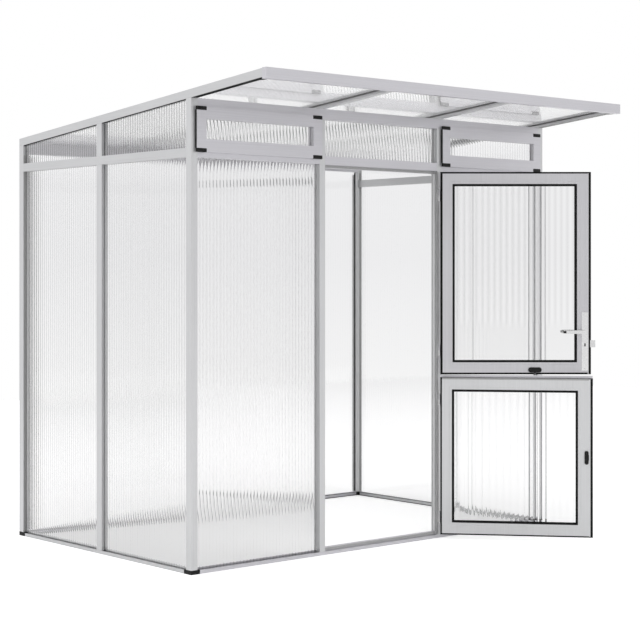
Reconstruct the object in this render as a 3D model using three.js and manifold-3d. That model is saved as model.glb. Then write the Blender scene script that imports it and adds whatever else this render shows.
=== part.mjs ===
// Lean-to greenhouse: a barred frame with panels, a roof that runs out over the front wall, two top-hung
// vents and a door in two leaves. Lengths are millimetres. The working origin is the outer bottom corner at
// the front left: X runs right along the front, Y to the back and Z up. The last lines shift the part to its
// own origin, the middle of the underside of the back base rail.
import * as THREE from "three";
import { mergeVertices } from "three/addons/utils/BufferGeometryUtils.js";
import Module from "manifold-3d";

// Whole object
const WIDTH = 2440;
const DEPTH = 1532;
const OVERHANG = 548;
const ROOF_BACK_HEIGHT = 2109;
const ROOF_RISE_SHARE = 0.09;

// Clearances and modelling allowances
const FIT_GAP = 0.3;
const CUT_OVERRUN = 5;
const MERGE_DISTANCE = 1e-4;
const ROUND_SIDES = 32;

// Posts, with the sides that carry channels and panel grooves
const POST_WIDE = 36;
const POST_DEEP = 41;
const DOOR_POST_LEFT_X = 786;
const DOOR_POST_RIGHT_X = 1605;
const GABLE_POST_Y = 744;
const GABLE_POST_WIDE = 46;
const FACE_LIP = 3;
const CHANNEL_DEEP = 4;
const FRONT_CHANNEL_END = 16;
const GABLE_CHANNEL_END = 11;

// Flat panels and the grooves they stand in
const PANEL_THICK = 6;
const FRONT_PANEL_SETBACK = 26;
const SIDE_PANEL_SETBACK = 14;
const GROOVE_DEEP = 10;
const ROOF_PANEL_THICK = 5;
const ROOF_PANEL_SEAT = 16.5;

// Base rails and the corner feet
const RAIL_UPSTAND_TALL = 25;
const SILL_TALL = 35;
const RAIL_LIP_TALL = 17;
const RAIL_TREAD_TALL = 14;
const RAIL_GROOVE_BOTTOM = 8;
const FRONT_LIP_DEEP = 12;
const SIDE_LIP_DEEP = 8;
const SILL_STOP_Y = 18;
const FOOT_TALL = 20;
const FOOT_LEG_X = 50;
const FOOT_LEG_Y = 57;

// Bars across the walls, stacked down from the roof
const HEADER_TALL = 48;
const VENT_OPENING_TALL = 181;
const TRANSOM_TALL = 42;
const DOOR_STOP_TALL = 15;
const GABLE_RAIL_LIFT = 1;
const GABLE_RAIL_TALL = 43;
const EAVE_TALL = 82;

// Roof bars
const RAFTER_TALL = 40;
const FASCIA_TALL = 50;
const FASCIA_DEEP = 30;

// Vent sashes
const SASH_PROUD = 13;
const SASH_FACE_GAP = 1;
const SASH_BODY_BACK = 18;
const SASH_OVERLAP_X = 13.7;
const SASH_OVERLAP_DOOR_POST = 6.3;
const SASH_RIGHT_START_IN = 30.7;
const SASH_RIGHT_END_IN = 31.5;
const SASH_OVERLAP_BELOW = 17;
const SASH_OVERLAP_ABOVE = 14;
const SASH_STILE = 57;
const SASH_TOP_RAIL = 57;
const SASH_BOTTOM_RAIL = 61;
const SASH_BODY_GAP = 4;
const SASH_BODY_FOOT_GAP = 6;
const SASH_PANE_SETBACK = 7;
const SASH_PANE_GROOVE = 7;

// Vent hinges: a lug on the header and a cross pin in a pocket of the sash
const VENT_AXIS_Y = -7;
const VENT_AXIS_DROP = 2;
const VENT_LUG_RADIUS = 3.2;
const VENT_LUG_WIDE = 36;
const VENT_LUG_WEB = 2.4;
const VENT_PIN_RADIUS = 1.5;
const VENT_PIN_CLEARANCE = 0.3;
const VENT_POCKET_WIDE = 40;
const VENT_POCKET_CLEARANCE = 0.6;
const VENT_POCKET_WALL = 2.5;
const VENT_HINGE_INSET = 130;

// Door leaves, described closed
const LEAF_OVERLAP_X = 4.5;
const LEAF_FLANGE_FRONT = -13;
const LEAF_FLANGE_BACK = -10;
const LEAF_BODY_BACK = 17.5;
const LEAF_BODY_INSET = 8.5;
const LEAF_MEETING_INSET = 4;
const LEAF_HINGE_STILE = 62;
const LEAF_FREE_STILE = 77;
const UPPER_LEAF_RAIL = 64.5;
const LOWER_LEAF_TOP_RAIL = 62;
const LOWER_LEAF_BOTTOM_RAIL = 67.5;
const LEAF_TOP_GAP = 5;
const LEAF_SPLIT_GAP = 15;
const LOWER_LEAF_BOTTOM = 20;
const LOWER_LEAF_TALL = 827;
const LEAF_PANE_FRONT = 4;
const LEAF_PANE_GROOVE = 7;

// Door hinges: pins on a strip that is fixed to the post
const HINGE_FROM_LEAF = 5.5;
const HINGE_Y = -7.5;
const HINGE_RADIUS = 5;
const HINGE_PIN_RADIUS = 3;
const HINGE_PIN_CLEARANCE = 0.4;
const HINGE_HALF_TALL = 30;
const HINGE_HALF_GAP = 0.4;
const HINGE_PIN_RISE = 25;
const HINGE_BORE_END = 1;
const HINGE_LEAF_WEB_BACK = -10;
const HINGE_LEAF_WEB_FRONT = -12;
const HINGE_LEAF_WEB_REACH = 10;
const HINGE_POST_WEB_LEFT = 2;
const HINGE_POST_WEB_RIGHT = 4;
const HINGE_STRIP_LEFT = 4;
const HINGE_STRIP_RIGHT = 7;
const HINGE_STRIP_THICK = 1.7;
const HINGE_STRIP_END = 42;
const UPPER_HINGE_FROM_BOTTOM = 128;
const UPPER_HINGE_FROM_TOP = 124;
const LOWER_HINGE_FROM_BOTTOM = 93;
const LOWER_HINGE_FROM_TOP = 117;

// Rest angles of the leaves, opened outwards
const UPPER_LEAF_ANGLE = THREE.MathUtils.degToRad(138.9);
const LOWER_LEAF_ANGLE = THREE.MathUtils.degToRad(130.8);

// Lever, backplate and latch tongue on the free stile of the upper leaf
const LEVER_FROM_FREE_EDGE = 35.5;
const LEVER_FROM_LEAF_BOTTOM = 224;
const SPINDLE_RADIUS = 5;
const SPINDLE_CLEARANCE = 0.5;
const GRIP_RADIUS = 9;
const GRIP_REACH = 118;
const GRIP_THICK = 10;
const INNER_GRIP_Y = 45;
const OUTER_GRIP_Y = -48;
const BACKPLATE_WIDE = 34;
const BACKPLATE_THICK = 3;
const BACKPLATE_BELOW_LEVER = 203;
const BACKPLATE_ABOVE_LEVER = 103;
const TONGUE_PROUD = 20;
const TONGUE_LONG = 44.5;
const TONGUE_BEVEL = 9;
const TONGUE_FRONT = 3;
const TONGUE_BACK = 13;
const TONGUE_BELOW_LEVER = 44;
const TONGUE_TALL = 37;
const TONGUE_TRAVEL = 26;
const KEEPER_CLEARANCE = 1;

// Slide bolt of the upper leaf, which drops into the lower leaf
const BOLT_FRONT = 3.3;
const BOLT_BACK = 12.7;
const BOLT_KNOB_THICK = 9;
const UPPER_BOLT_FROM_HINGE_EDGE = 494;
const UPPER_BOLT_TAB_WIDE = 20;
const UPPER_BOLT_TAB_LIFT = 6;
const UPPER_BOLT_TAB_TALL = 47;
const UPPER_BOLT_STEM_WIDE = 10;
const UPPER_BOLT_STEM_LIFT = 18;
const UPPER_BOLT_STEM_TALL = 14;
const UPPER_BOLT_KNOB_WIDE = 70;
const UPPER_BOLT_KNOB_LIFT = 12;
const UPPER_BOLT_KNOB_TALL = 26;
const UPPER_BOLT_TRAVEL = 31;

// Slide bolt of the lower leaf, which runs into the door post. Offsets are from the leaf's free edge.
const LOWER_BOLT_TAB_IN = 6.5;
const LOWER_BOLT_TAB_LONG = 33;
const LOWER_BOLT_TAB_TALL = 28;
const LOWER_BOLT_STEM_IN = 28;
const LOWER_BOLT_STEM_WIDE = 10;
const LOWER_BOLT_KNOB_IN = 22.5;
const LOWER_BOLT_KNOB_WIDE = 21;
const LOWER_BOLT_KNOB_TALL = 70;
const LOWER_BOLT_MIDDLE_SHARE = 0.505;
const LOWER_BOLT_TRAVEL = 7;

// Finishes
const ALUMINIUM = { color: 0xc6c8cc, roughness: 0.42, metalness: 0.85 };
const SHEET = { color: 0xe9edf1, roughness: 0.12, metalness: 0 };
const BLACK_PLASTIC = { color: 0x1a1a1b, roughness: 0.55, metalness: 0 };
const STEEL = { color: 0xb9bbbe, roughness: 0.3, metalness: 1 };
const CHROME = { color: 0xd9dadc, roughness: 0.12, metalness: 1 };

const wasm = await Module();
wasm.setup();

function solidFrom(geometry) {
  const bare = geometry.index ? geometry.toNonIndexed() : geometry.clone();
  bare.deleteAttribute("normal");
  bare.deleteAttribute("uv");
  const merged = mergeVertices(bare, MERGE_DISTANCE);
  const triVerts = new Uint32Array(merged.index.array);
  const vertProperties = merged.attributes.position.array;
  return new wasm.Manifold(new wasm.Mesh({ numProp: 3, vertProperties, triVerts }));
}

function geometryFrom(solid) {
  const mesh = solid.getMesh();
  const geometry = new THREE.BufferGeometry();
  geometry.setAttribute("position", new THREE.BufferAttribute(new Float32Array(mesh.vertProperties), 3));
  geometry.setIndex(new THREE.BufferAttribute(new Uint32Array(mesh.triVerts), 1));
  return geometry;
}

// Spans are [low, high] pairs along X, Y and Z.
function box([x0, x1], [y0, y1], [z0, z1]) {
  const geometry = new THREE.BoxGeometry(x1 - x0, y1 - y0, z1 - z0);
  geometry.translate((x0 + x1) / 2, (y0 + y1) / 2, (z0 + z1) / 2);
  return solidFrom(geometry);
}

// The outline is in (y, z) for a prism along x, in (x, z) along y and in (x, y) along z.
function prism(outline, along, [low, high]) {
  const shape = new THREE.Shape(outline.map(([a, b]) => new THREE.Vector2(a, b)));
  const geometry = new THREE.ExtrudeGeometry(shape, { depth: high - low, bevelEnabled: false });
  if (along === "x") {
    geometry.rotateY(Math.PI / 2);
    geometry.rotateX(Math.PI / 2);
    geometry.translate(low, 0, 0);
  }
  if (along === "y") {
    geometry.rotateX(Math.PI / 2);
    geometry.translate(0, high, 0);
  }
  if (along === "z") geometry.translate(0, 0, low);
  return solidFrom(geometry);
}

// The centre is in (y, z) for a cylinder along x, in (x, z) along y and in (x, y) along z.
function cylinder(radius, along, [low, high], [a, b]) {
  const geometry = new THREE.CylinderGeometry(radius, radius, high - low, ROUND_SIDES);
  const middle = (low + high) / 2;
  if (along === "x") geometry.rotateZ(Math.PI / 2).translate(middle, a, b);
  if (along === "y") geometry.translate(a, middle, b);
  if (along === "z") geometry.rotateX(Math.PI / 2).translate(a, b, middle);
  return solidFrom(geometry);
}

function join(first, ...others) {
  return others.reduce((sum, solid) => sum.add(solid), first);
}

function cut(first, ...tools) {
  return tools.reduce((rest, tool) => rest.subtract(tool), first);
}

// The same solid on the other side of the middle plane of the width.
function mirrored(solid) {
  const geometry = geometryFrom(solid).scale(-1, 1, 1).translate(WIDTH, 0, 0);
  const order = geometry.index.array;
  for (let i = 0; i < order.length; i += 3) [order[i + 1], order[i + 2]] = [order[i + 2], order[i + 1]];
  return solidFrom(geometry);
}

// A leaf piece swung about the hinge line by an angle from closed.
function swung(solid, angle) {
  const geometry = geometryFrom(solid);
  geometry.translate(-hingeX, -HINGE_Y, 0).rotateZ(angle).translate(hingeX, HINGE_Y, 0);
  return solidFrom(geometry);
}

function wider([low, high], by) {
  return [low - by, high + by];
}

function narrower([low, high], by) {
  return [low + by, high - by];
}

function around(centre, wide) {
  return [centre - wide / 2, centre + wide / 2];
}

const part = new THREE.Group();

function addPiece(name, solid, finish) {
  const geometry = geometryFrom(solid);
  geometry.translate(-WIDTH / 2, -(DEPTH - POST_DEEP / 2), 0);
  geometry.computeVertexNormals();
  const mesh = new THREE.Mesh(geometry, new THREE.MeshStandardMaterial(finish));
  mesh.name = name;
  part.add(mesh);
}

// Heights of the sloping roof above a place along Y
const roofTop = (y) => ROOF_BACK_HEIGHT + ROOF_RISE_SHARE * (DEPTH - y);
const rafterUnder = (y) => roofTop(y) - RAFTER_TALL;
const roofPanelUnder = (y) => rafterUnder(y) + ROOF_PANEL_SEAT;
const roofPanelTop = (y) => roofPanelUnder(y) + ROOF_PANEL_THICK;

// Heights of the bars across the walls
const headerBottom = rafterUnder(POST_DEEP) - FIT_GAP - HEADER_TALL;
const transomTop = headerBottom - VENT_OPENING_TALL;
const transomBottom = transomTop - TRANSOM_TALL;
const gableRailBottom = transomBottom + GABLE_RAIL_LIFT;
const gableRailTop = gableRailBottom + GABLE_RAIL_TALL;
const eaveBottom = ROOF_BACK_HEIGHT - EAVE_TALL;
const sashBottom = transomTop - SASH_OVERLAP_BELOW;
const sashTop = headerBottom + SASH_OVERLAP_ABOVE;
const lowerLeafTop = LOWER_LEAF_BOTTOM + LOWER_LEAF_TALL;
const upperLeafBottom = lowerLeafTop + LEAF_SPLIT_GAP;
const upperLeafTop = transomBottom - LEAF_TOP_GAP;

// A bar or sheet between two sloping heights.
function slopingPrism(lowHeight, highHeight, [y0, y1], spanX) {
  const outline = [[y0, lowHeight(y0)], [y1, lowHeight(y1)], [y1, highHeight(y1)], [y0, highHeight(y0)]];
  return prism(outline, "x", spanX);
}

const fullX = wider([0, WIDTH], CUT_OVERRUN);
const fullY = wider([-OVERHANG, DEPTH], CUT_OVERRUN);
const fullZ = wider([0, roofTop(-OVERHANG)], CUT_OVERRUN);

// Everything above the underside of the rafters, less the fit gap.
const roofZone = slopingPrism((y) => rafterUnder(y) - FIT_GAP, () => fullZ[1] + CUT_OVERRUN, fullY, fullX);

// Lines of the walls and the grooves in them
const frontPanelY = [FRONT_PANEL_SETBACK, FRONT_PANEL_SETBACK + PANEL_THICK];
const leftPanelX = [SIDE_PANEL_SETBACK, SIDE_PANEL_SETBACK + PANEL_THICK];
const backPanelY = [DEPTH - SIDE_PANEL_SETBACK - PANEL_THICK, DEPTH - SIDE_PANEL_SETBACK];
const frontGrooveY = wider(frontPanelY, FIT_GAP);
const leftGrooveX = wider(leftPanelX, FIT_GAP);
const backGrooveY = wider(backPanelY, FIT_GAP);
const frontChannelY = [FACE_LIP, FRONT_CHANNEL_END];
const leftChannelX = [FACE_LIP, GABLE_CHANNEL_END];
const backWallY = [DEPTH - POST_DEEP, DEPTH];
const doorPostLeftX = [DOOR_POST_LEFT_X, DOOR_POST_LEFT_X + POST_WIDE];
const doorPostRightX = [DOOR_POST_RIGHT_X, DOOR_POST_RIGHT_X + POST_WIDE];
const gablePostY = [GABLE_POST_Y, GABLE_POST_Y + GABLE_POST_WIDE];
const doorwayX = [doorPostLeftX[1], doorPostRightX[0]];
const leafX = wider(doorwayX, LEAF_OVERLAP_X);
const hingeX = leafX[1] + HINGE_FROM_LEAF;
const betweenCornersX = [POST_WIDE + FIT_GAP, WIDTH - POST_WIDE - FIT_GAP];
const betweenCornersY = [POST_DEEP + FIT_GAP, DEPTH - POST_DEEP - FIT_GAP];

// Grooves cut into the side of a bar: the reach from its face inwards, with the overrun outside it.
const inFromHigh = (face, deep) => [face - deep, face + CUT_OVERRUN];
const inFromLow = (face, deep) => [face - CUT_OVERRUN, face + deep];

// The three bays along the width and the spans their panels fill
const bayLeftX = [POST_WIDE, doorPostLeftX[0]];
const bayMiddleX = doorwayX;
const bayRightX = [doorPostRightX[1], WIDTH - POST_WIDE];
const grooveReach = GROOVE_DEEP - FIT_GAP;
const panelLeftX = wider(bayLeftX, grooveReach);
const panelMiddleX = wider(bayMiddleX, grooveReach);
const panelRightX = wider(bayRightX, grooveReach);
const gableFrontY = [POST_DEEP, gablePostY[0]];
const gableBackY = [gablePostY[1], DEPTH - POST_DEEP];
const panelGableFrontY = wider(gableFrontY, grooveReach);
const panelGableBackY = wider(gableBackY, grooveReach);

// Corner feet: an L on the ground with grooves for the panel edges
function foot(wallY, legY, wallGrooveY, gableGrooveY) {
  const legs = join(
    box([0, FOOT_LEG_X], wallY, [0, FOOT_TALL]),
    box([0, POST_WIDE], legY, [0, FOOT_TALL]),
  );
  const grooveZ = [RAIL_GROOVE_BOTTOM, fullZ[1]];
  return cut(
    legs,
    box([POST_WIDE - GROOVE_DEEP, FOOT_LEG_X + CUT_OVERRUN], wallGrooveY, grooveZ),
    box(leftGrooveX, gableGrooveY, grooveZ),
  );
}

const frontFootGrooveY = [POST_DEEP - GROOVE_DEEP, FOOT_LEG_Y + CUT_OVERRUN];
const backFootGrooveY = [DEPTH - FOOT_LEG_Y - CUT_OVERRUN, backWallY[0] + GROOVE_DEEP];
const footFrontLeft = foot([0, POST_DEEP], [0, FOOT_LEG_Y], frontGrooveY, frontFootGrooveY);
const footBackLeft = foot(backWallY, [DEPTH - FOOT_LEG_Y, DEPTH], backGrooveY, backFootGrooveY);
addPiece("foot_front_left", footFrontLeft, BLACK_PLASTIC);
addPiece("foot_front_right", mirrored(footFrontLeft), BLACK_PLASTIC);
addPiece("foot_back_left", footBackLeft, BLACK_PLASTIC);
addPiece("foot_back_right", mirrored(footBackLeft), BLACK_PLASTIC);

// Space the feet take out of the rails, seen from the outline of their legs
const footZoneZ = [-CUT_OVERRUN, FOOT_TALL + FIT_GAP];
const footZonesX = [
  box([-CUT_OVERRUN, FOOT_LEG_X + FIT_GAP], fullY, footZoneZ),
  box([WIDTH - FOOT_LEG_X - FIT_GAP, fullX[1]], fullY, footZoneZ),
];
const footZonesY = [
  box(fullX, [-CUT_OVERRUN, FOOT_LEG_Y + FIT_GAP], footZoneZ),
  box(fullX, [DEPTH - FOOT_LEG_Y - FIT_GAP, fullY[1]], footZoneZ),
];

// Section of a base rail, from its outer face inwards
function railOutline(lipDeep, grooveNear, grooveFar, railDeep) {
  return [
    [0, 0],
    [railDeep, 0],
    [railDeep, RAIL_UPSTAND_TALL],
    [grooveFar, RAIL_UPSTAND_TALL],
    [grooveFar, RAIL_GROOVE_BOTTOM],
    [grooveNear, RAIL_GROOVE_BOTTOM],
    [grooveNear, RAIL_TREAD_TALL],
    [lipDeep, RAIL_TREAD_TALL],
    [lipDeep, RAIL_LIP_TALL],
    [0, RAIL_LIP_TALL],
  ];
}

const frontRailOutline = railOutline(FRONT_LIP_DEEP, frontGrooveY[0], frontGrooveY[1], POST_DEEP);
const sideRailOutline = railOutline(SIDE_LIP_DEEP, leftGrooveX[0], leftGrooveX[1], POST_WIDE);
const backRailOutline = railOutline(SIDE_LIP_DEEP, leftGrooveX[0], leftGrooveX[1], POST_DEEP);
const backRailOutlineTurned = backRailOutline.map(([inwards, z]) => [DEPTH - inwards, z]);
const sillStopX = narrower(doorwayX, FIT_GAP);
const sillStop = box(sillStopX, [SILL_STOP_Y, POST_DEEP], [0, SILL_TALL]);
const baseRailFront = cut(join(prism(frontRailOutline, "x", betweenCornersX), sillStop), ...footZonesX);
const baseRailBack = cut(prism(backRailOutlineTurned, "x", betweenCornersX), ...footZonesX);
const baseRailLeft = cut(prism(sideRailOutline, "y", betweenCornersY), ...footZonesY);
addPiece("base_rail_front", baseRailFront, ALUMINIUM);
addPiece("base_rail_back", baseRailBack, ALUMINIUM);
addPiece("base_rail_left", baseRailLeft, ALUMINIUM);
addPiece("base_rail_right", mirrored(baseRailLeft), ALUMINIUM);

// Corner posts stand on the feet and end under the outer rafters
const postFootZ = FOOT_TALL + FIT_GAP;
const cornerPostFront = cut(
  box([0, POST_WIDE], [0, POST_DEEP], [postFootZ, roofTop(0)]),
  roofZone,
  box(inFromHigh(POST_WIDE, GROOVE_DEEP), frontGrooveY, fullZ),
  box(inFromHigh(POST_WIDE, CHANNEL_DEEP), frontChannelY, fullZ),
  box(leftGrooveX, inFromHigh(POST_DEEP, GROOVE_DEEP), fullZ),
  box(leftChannelX, inFromHigh(POST_DEEP, CHANNEL_DEEP), fullZ),
);
const cornerPostBack = cut(
  box([0, POST_WIDE], backWallY, [postFootZ, roofTop(backWallY[0])]),
  roofZone,
  box(inFromHigh(POST_WIDE, GROOVE_DEEP), backGrooveY, fullZ),
  box(leftGrooveX, inFromLow(backWallY[0], GROOVE_DEEP), fullZ),
  box(leftChannelX, inFromLow(backWallY[0], CHANNEL_DEEP), fullZ),
);
addPiece("corner_post_front_left", cornerPostFront, ALUMINIUM);
addPiece("corner_post_front_right", mirrored(cornerPostFront), ALUMINIUM);
addPiece("corner_post_back_left", cornerPostBack, ALUMINIUM);
addPiece("corner_post_back_right", mirrored(cornerPostBack), ALUMINIUM);

// Posts on a base rail stand on its lip and step over its inner upstand
const postBottom = RAIL_LIP_TALL + FIT_GAP;
const upstandZ = [-CUT_OVERRUN, RAIL_UPSTAND_TALL + FIT_GAP];

// Keepers in the left door post for the latch tongue and the bolt of the lower leaf
const leverX = leafX[0] + LEVER_FROM_FREE_EDGE;
const leverZ = upperLeafBottom + LEVER_FROM_LEAF_BOTTOM;
const tongueTip = leafX[0] - TONGUE_PROUD;
const tongueX = [tongueTip, tongueTip + TONGUE_LONG];
const tongueY = [TONGUE_FRONT, TONGUE_BACK];
const tongueZ = [leverZ - TONGUE_BELOW_LEVER - TONGUE_TALL, leverZ - TONGUE_BELOW_LEVER];
const boltY = [BOLT_FRONT, BOLT_BACK];
const lowerBoltMiddle = LOWER_LEAF_BOTTOM + LOWER_LEAF_TALL * LOWER_BOLT_MIDDLE_SHARE;
const lowerBoltTabX = [leafX[0] + LOWER_BOLT_TAB_IN, leafX[0] + LOWER_BOLT_TAB_IN + LOWER_BOLT_TAB_LONG];
const lowerBoltTabZ = around(lowerBoltMiddle, LOWER_BOLT_TAB_TALL);
const latchKeeper = box(
  [tongueTip - KEEPER_CLEARANCE, doorPostLeftX[1] + CUT_OVERRUN],
  wider(tongueY, KEEPER_CLEARANCE),
  wider(tongueZ, KEEPER_CLEARANCE),
);
const boltKeeper = box(
  [lowerBoltTabX[0] - LOWER_BOLT_TRAVEL - KEEPER_CLEARANCE, doorPostLeftX[1] + CUT_OVERRUN],
  wider(boltY, KEEPER_CLEARANCE),
  wider(lowerBoltTabZ, KEEPER_CLEARANCE),
);

// Door posts: the front half of each runs past the transom, whose rear half runs behind it
const frontLapY = POST_DEEP / 2;
const transomZ = [transomBottom, transomTop];
function doorPost(postX, outerGrooveX, innerGrooveX) {
  const innerGrooveZ = [transomTop - GROOVE_DEEP, fullZ[1]];
  return cut(
    box(postX, [0, POST_DEEP], [postBottom, headerBottom - FIT_GAP]),
    box(fullX, [frontGrooveY[1] - FIT_GAP, POST_DEEP + CUT_OVERRUN], upstandZ),
    box(fullX, [frontLapY - FIT_GAP / 2, POST_DEEP + CUT_OVERRUN], wider(transomZ, FIT_GAP)),
    box(outerGrooveX, frontGrooveY, fullZ),
    box(innerGrooveX, frontGrooveY, innerGrooveZ),
    box(inFromLow(postX[0], CHANNEL_DEEP), frontChannelY, fullZ),
    box(inFromHigh(postX[1], CHANNEL_DEEP), frontChannelY, fullZ),
  );
}

const doorPostLeft = cut(
  doorPost(
    doorPostLeftX,
    inFromLow(doorPostLeftX[0], GROOVE_DEEP),
    inFromHigh(doorPostLeftX[1], GROOVE_DEEP),
  ),
  latchKeeper,
  boltKeeper,
);
const doorPostRight = doorPost(
  doorPostRightX,
  inFromHigh(doorPostRightX[1], GROOVE_DEEP),
  inFromLow(doorPostRightX[0], GROOVE_DEEP),
);
addPiece("door_post_left", doorPostLeft, ALUMINIUM);
addPiece("door_post_right", doorPostRight, ALUMINIUM);

// Gable posts: the inner half of each runs past the gable rail, whose outer half runs in front of it
const gableLapX = POST_WIDE / 2;
const gableRailZ = [gableRailBottom, gableRailTop];
const gablePost = cut(
  box([0, POST_WIDE], gablePostY, [postBottom, roofTop(gablePostY[0])]),
  roofZone,
  box([leftGrooveX[1] - FIT_GAP, POST_WIDE + CUT_OVERRUN], fullY, upstandZ),
  box([-CUT_OVERRUN, gableLapX + FIT_GAP / 2], fullY, wider(gableRailZ, FIT_GAP)),
  box(leftGrooveX, inFromLow(gablePostY[0], GROOVE_DEEP), fullZ),
  box(leftGrooveX, inFromHigh(gablePostY[1], GROOVE_DEEP), fullZ),
  box(leftChannelX, inFromLow(gablePostY[0], CHANNEL_DEEP), fullZ),
  box(leftChannelX, inFromHigh(gablePostY[1], CHANNEL_DEEP), fullZ),
);
addPiece("gable_post_left", gablePost, ALUMINIUM);
addPiece("gable_post_right", mirrored(gablePost), ALUMINIUM);

// Back posts, in line with the door posts
function backPost(postX) {
  return cut(
    box(postX, backWallY, [postBottom, eaveBottom - FIT_GAP]),
    box(fullX, [backWallY[0] - CUT_OVERRUN, backGrooveY[0] + FIT_GAP], upstandZ),
    box(inFromLow(postX[0], GROOVE_DEEP), backGrooveY, fullZ),
    box(inFromHigh(postX[1], GROOVE_DEEP), backGrooveY, fullZ),
  );
}

addPiece("back_post_left", backPost(doorPostLeftX), ALUMINIUM);
addPiece("back_post_right", backPost(doorPostRightX), ALUMINIUM);

// Transom: one bar over the whole front, with the stop of the doorway under it
const postLapX = [wider(doorPostLeftX, FIT_GAP), wider(doorPostRightX, FIT_GAP)];
const frontLaps = postLapX.map((spanX) =>
  box(spanX, [-CUT_OVERRUN, frontLapY + FIT_GAP / 2], wider(transomZ, CUT_OVERRUN)),
);
const grooveMiddleX = wider(bayMiddleX, GROOVE_DEEP);
const frontTransom = cut(
  join(
    box(betweenCornersX, [0, POST_DEEP], transomZ),
    box(
      narrower(doorwayX, FIT_GAP),
      [SILL_STOP_Y, POST_DEEP],
      [transomBottom - DOOR_STOP_TALL, transomBottom],
    ),
  ),
  ...frontLaps,
  box([0, bayLeftX[1] + GROOVE_DEEP], frontGrooveY, inFromLow(transomBottom, GROOVE_DEEP)),
  box([bayRightX[0] - GROOVE_DEEP, WIDTH], frontGrooveY, inFromLow(transomBottom, GROOVE_DEEP)),
  box(grooveMiddleX, frontGrooveY, inFromHigh(transomTop, GROOVE_DEEP)),
);
addPiece("front_transom", frontTransom, ALUMINIUM);

// Gable rails
const gableRail = cut(
  box([0, POST_WIDE], betweenCornersY, gableRailZ),
  box([gableLapX - FIT_GAP / 2, POST_WIDE + CUT_OVERRUN], wider(gablePostY, FIT_GAP), fullZ),
  box(leftGrooveX, fullY, inFromLow(gableRailBottom, GROOVE_DEEP)),
  box(leftGrooveX, fullY, inFromHigh(gableRailTop, GROOVE_DEEP)),
);
addPiece("gable_rail_left", gableRail, ALUMINIUM);
addPiece("gable_rail_right", mirrored(gableRail), ALUMINIUM);

// Header over the door posts, with the lugs the vents hang from
const sashLeftX = [POST_WIDE - SASH_OVERLAP_X, doorPostLeftX[0] + SASH_OVERLAP_DOOR_POST];
const sashRightX = [doorPostRightX[0] + SASH_RIGHT_START_IN, WIDTH - SASH_RIGHT_END_IN];
const ventHingeCentresOf = (sashX) => [sashX[0] + VENT_HINGE_INSET, sashX[1] - VENT_HINGE_INSET];
const ventAxisZ = sashTop - VENT_AXIS_DROP;
const ventAxis = [VENT_AXIS_Y, ventAxisZ];

function ventLug(centreX) {
  const lugX = around(centreX, VENT_LUG_WIDE);
  return cut(
    join(
      cylinder(VENT_LUG_RADIUS, "x", lugX, ventAxis),
      box(lugX, [VENT_AXIS_Y, FACE_LIP], around(ventAxisZ, VENT_LUG_WEB)),
    ),
    cylinder(VENT_PIN_RADIUS + VENT_PIN_CLEARANCE, "x", wider(lugX, CUT_OVERRUN), ventAxis),
  );
}

const ventLugs = [sashLeftX, sashRightX].flatMap(ventHingeCentresOf).map(ventLug);
const frontHeader = join(
  cut(
    box(betweenCornersX, [0, POST_DEEP], [headerBottom, roofTop(0)]),
    roofZone,
    box(grooveMiddleX, frontGrooveY, inFromLow(headerBottom, GROOVE_DEEP)),
  ),
  ...ventLugs,
);
addPiece("front_header", frontHeader, ALUMINIUM);

// Roof: sloping rafters between the fascia at the front and the eave rail at the back
const fasciaY = [-OVERHANG, -OVERHANG + FASCIA_DEEP];
const roofPanelY = [fasciaY[1] - grooveReach, backWallY[0] + grooveReach];
const roofGrooveUnder = (y) => roofPanelUnder(y) - FIT_GAP;
const roofGrooveTop = (y) => roofPanelTop(y) + FIT_GAP;
const roofGroove = (spanX) => slopingPrism(roofGrooveUnder, roofGrooveTop, wider(roofPanelY, FIT_GAP), spanX);
const gableTopGroove = (y) => rafterUnder(y) + GROOVE_DEEP;
const rafterStart = fasciaY[1] + FIT_GAP;

const outerRafter = cut(
  slopingPrism(rafterUnder, roofTop, [rafterStart, DEPTH], [0, POST_WIDE]),
  roofGroove(inFromHigh(POST_WIDE, GROOVE_DEEP)),
  slopingPrism(
    (y) => rafterUnder(y) - CUT_OVERRUN,
    gableTopGroove,
    [POST_DEEP - GROOVE_DEEP, backWallY[0] + GROOVE_DEEP],
    leftGrooveX,
  ),
);
const innerRafter = (postX) =>
  cut(
    slopingPrism(rafterUnder, roofTop, [rafterStart, backWallY[0] - FIT_GAP], postX),
    roofGroove(inFromLow(postX[0], GROOVE_DEEP)),
    roofGroove(inFromHigh(postX[1], GROOVE_DEEP)),
  );
addPiece("rafter_left", outerRafter, ALUMINIUM);
addPiece("rafter_right", mirrored(outerRafter), ALUMINIUM);
addPiece("rafter_inner_left", innerRafter(doorPostLeftX), ALUMINIUM);
addPiece("rafter_inner_right", innerRafter(doorPostRightX), ALUMINIUM);

const fasciaTop = roofTop(-OVERHANG);
const roofFascia = cut(
  box([0, WIDTH], fasciaY, [fasciaTop - FASCIA_TALL, fasciaTop]),
  roofGroove([panelLeftX[0] - FIT_GAP, panelRightX[1] + FIT_GAP]),
);
addPiece("roof_fascia", roofFascia, ALUMINIUM);

const backEaveRail = cut(
  slopingPrism(() => eaveBottom, roofTop, backWallY, betweenCornersX),
  roofGroove(fullX),
  box(fullX, backGrooveY, inFromLow(eaveBottom, GROOVE_DEEP)),
);
addPiece("back_eave_rail", backEaveRail, ALUMINIUM);

const roofPanel = (spanX) => slopingPrism(roofPanelUnder, roofPanelTop, roofPanelY, spanX);
addPiece("roof_panel_left", roofPanel(panelLeftX), SHEET);
addPiece("roof_panel_middle", roofPanel(panelMiddleX), SHEET);
addPiece("roof_panel_right", roofPanel(panelRightX), SHEET);

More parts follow.
